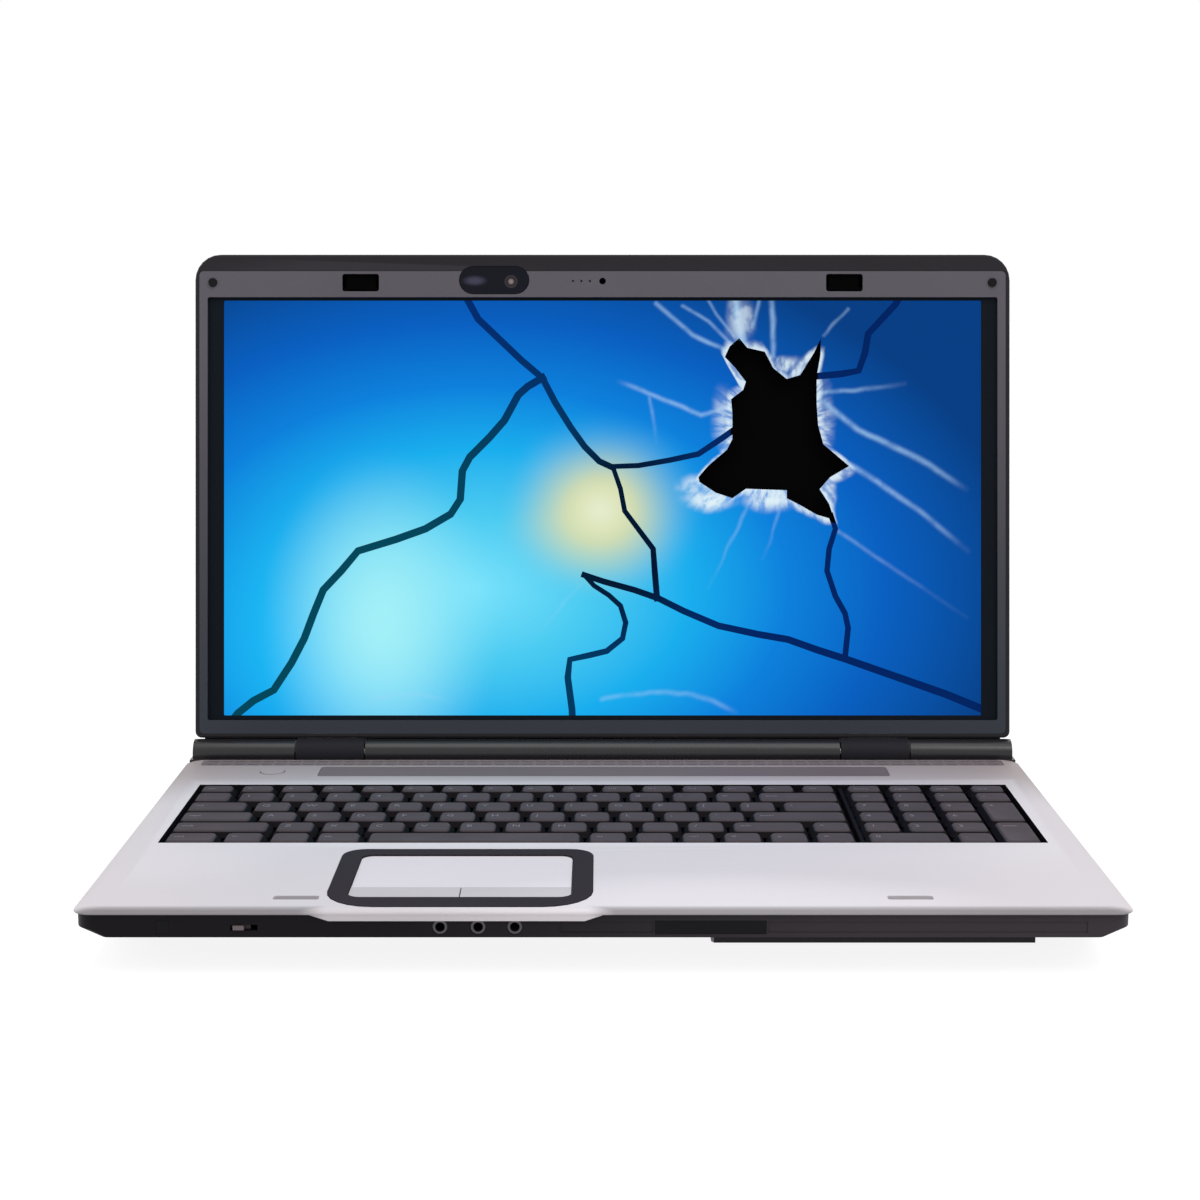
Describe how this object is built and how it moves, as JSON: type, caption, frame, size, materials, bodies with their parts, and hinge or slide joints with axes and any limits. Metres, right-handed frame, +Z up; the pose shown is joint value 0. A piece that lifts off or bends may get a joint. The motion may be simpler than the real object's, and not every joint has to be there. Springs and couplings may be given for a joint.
{
  "type": "broken laptop",
  "caption": "Open wide-screen laptop with a number pad, its lit screen split by wide cracks and punched through near the upper right.",
  "frame": {"origin": "on the table under the middle of the machine's overall box", "axes": "+X to the machine's right as its user sees it, +Y from the user towards the hinge, +Z up"},
  "size_m": [0.391, 0.2838, 0.2615],
  "materials": {
    "black_shell": "satin black moulded plastic",
    "graphite_plastic": "satin graphite grey plastic",
    "silver_plastic": "silver painted plastic with fine engraved lines",
    "grey_strip": "glossy grey touch strip",
    "grille": "perforated painted grille",
    "key_plastic": "fine-grained charcoal key plastic",
    "surround": "glossy dark grey",
    "screen": "cracked display panel, lit",
    "clear_window": "smoked clear plastic",
    "sheet": "translucent white sheet",
    "rubber": "black rubber",
    "steel": "zinc plated steel",
    "copper": "copper pipe and fins",
    "circuit": "green circuit board",
    "lamp": "white lamp tube"
  },
  "bodies": {
    "base": {"base_bottom": "black_shell", "top_cover": "silver_plastic", "rear_deck": "silver_plastic", "hinge_cover": "graphite_plastic", "media_strip": "grey_strip", "speaker_grille": "grille", "speakers": "black_shell", "keyboard_plate": "black_shell", "dome_sheet": "sheet", "touchpad_surround": "surround", "touchpad": "silver_plastic", "hinge_brackets": "steel", "motherboard": "circuit", "processor": "circuit", "heat_sink": "copper", "fan_housing": "black_shell", "memory_modules": "circuit", "hard_drive": "steel", "hard_drive_cover": "black_shell", "memory_cover": "black_shell", "optical_drive_shell": "steel", "battery_pack": "black_shell", "audio_jacks": "steel", "front_windows": "clear_window", "port_sockets": "steel", "rubber_feet": "rubber", "case_screws": "steel"},
    "lid": {"lid_back_cover": "black_shell", "lid_bezel": "graphite_plastic", "screen_glass": "screen", "screen_frame": "black_shell", "diffuser_sheet": "sheet", "light_guide": "sheet", "backlight_tube": "lamp", "screen_driver_board": "circuit", "backlight_inverter": "circuit", "webcam_window": "clear_window", "webcam_module": "circuit", "lid_bumpers": "rubber", "hinge_arms": "steel", "hinge_caps": "graphite_plastic"},
    "hooks": {"latch_hooks": "black_shell"},
    "tray": {"optical_tray": "black_shell"},
    "rails": {"tray_rails": "steel"},
    "eject": {"eject_button": "black_shell"},
    "hub": {"disc_hub": "steel"},
    "impeller": {"fan_impeller": "black_shell"},
    "power": {"power_button": "silver_plastic"},
    "radio_switch": {"wireless_switch": "steel"},
    "battery_slider": {"battery_latch": "graphite_plastic"},
    "left_click": {"left_touchpad_button": "silver_plastic"},
    "right_click": {"right_touchpad_button": "silver_plastic"},
    "keys_function": {"function_keys": "key_plastic"},
    "keys_numbers": {"number_row_keys": "key_plastic"},
    "keys_upper": {"upper_letter_keys": "key_plastic"},
    "keys_home": {"home_row_keys": "key_plastic"},
    "keys_lower": {"lower_letter_keys": "key_plastic"},
    "keys_modifier": {"modifier_keys": "key_plastic"},
    "key_space": {"space_bar": "key_plastic"},
    "keys_pad": {"number_pad_keys": "key_plastic"}
  },
  "joints": [
    {"name": "lid_hinge", "type": "hinge", "parent": "base", "child": "lid", "pos_m": [0, 0.09312, 0.029], "axis": [1, 0, 0], "range_deg": [-35, 99.6]},
    {"name": "hook_swing", "type": "hinge", "parent": "lid", "child": "hooks", "pos_m": [0, 0.13132, 0.24526], "axis": [1, 0, 0], "range_deg": [0, 90], "stiffness_Nm_per_rad": 0.0006, "springref_deg": -85.94},
    {"name": "tray_slide", "type": "slide", "parent": "base", "child": "tray", "axis": [1, 0, 0], "range_m": [0, 0.125]},
    {"name": "rail_slide", "type": "slide", "parent": "base", "child": "rails", "axis": [1, 0, 0], "range_m": [0, 0.0625]},
    {"name": "eject_press", "type": "slide", "parent": "tray", "child": "eject", "axis": [-1, 0, 0], "range_m": [0, 0.0012], "stiffness_N_per_m": 250, "springref_m": -0.001},
    {"name": "hub_spin", "type": "hinge", "parent": "tray", "child": "hub", "pos_m": [0.131, 0.01413, 0.012], "axis": [0, 0, 1], "continuous": true},
    {"name": "fan_spin", "type": "hinge", "parent": "base", "child": "impeller", "pos_m": [-0.152, 0.05312, 0.012], "axis": [0, 0, 1], "continuous": true},
    {"name": "power_press", "type": "slide", "parent": "base", "child": "power", "axis": [0, 0, -1], "range_m": [0, 0.0008], "stiffness_N_per_m": 600, "springref_m": -0.001},
    {"name": "radio_slide", "type": "slide", "parent": "base", "child": "radio_switch", "axis": [1, 0, 0], "range_m": [0, 0.004]},
    {"name": "battery_latch_slide", "type": "slide", "parent": "base", "child": "battery_slider", "axis": [1, 0, 0], "range_m": [0, 0.005], "stiffness_N_per_m": 250, "springref_m": -0.004},
    {"name": "left_click_press", "type": "slide", "parent": "base", "child": "left_click", "axis": [0, 0, -1], "range_m": [0, 0.0005], "stiffness_N_per_m": 800, "springref_m": -0.0008},
    {"name": "right_click_press", "type": "slide", "parent": "base", "child": "right_click", "axis": [0, 0, -1], "range_m": [0, 0.0005], "stiffness_N_per_m": 800, "springref_m": -0.0008},
    {"name": "function_press", "type": "slide", "parent": "base", "child": "keys_function", "axis": [0, 0, -1], "range_m": [0, 0.002], "stiffness_N_per_m": 300, "springref_m": -0.001},
    {"name": "numbers_press", "type": "slide", "parent": "base", "child": "keys_numbers", "axis": [0, 0, -1], "range_m": [0, 0.002], "stiffness_N_per_m": 300, "springref_m": -0.001},
    {"name": "upper_press", "type": "slide", "parent": "base", "child": "keys_upper", "axis": [0, 0, -1], "range_m": [0, 0.002], "stiffness_N_per_m": 300, "springref_m": -0.001},
    {"name": "home_press", "type": "slide", "parent": "base", "child": "keys_home", "axis": [0, 0, -1], "range_m": [0, 0.002], "stiffness_N_per_m": 300, "springref_m": -0.001},
    {"name": "lower_press", "type": "slide", "parent": "base", "child": "keys_lower", "axis": [0, 0, -1], "range_m": [0, 0.002], "stiffness_N_per_m": 300, "springref_m": -0.001},
    {"name": "modifier_press", "type": "slide", "parent": "base", "child": "keys_modifier", "axis": [0, 0, -1], "range_m": [0, 0.002], "stiffness_N_per_m": 300, "springref_m": -0.001},
    {"name": "space_press", "type": "slide", "parent": "base", "child": "key_space", "axis": [0, 0, -1], "range_m": [0, 0.002], "stiffness_N_per_m": 300, "springref_m": -0.001},
    {"name": "pad_press", "type": "slide", "parent": "base", "child": "keys_pad", "axis": [0, 0, -1], "range_m": [0, 0.002], "stiffness_N_per_m": 300, "springref_m": -0.001}
  ],
  "couplings": [
    {"joint": "rail_slide", "follows": "tray_slide", "ratio": 0.5}
  ]
}
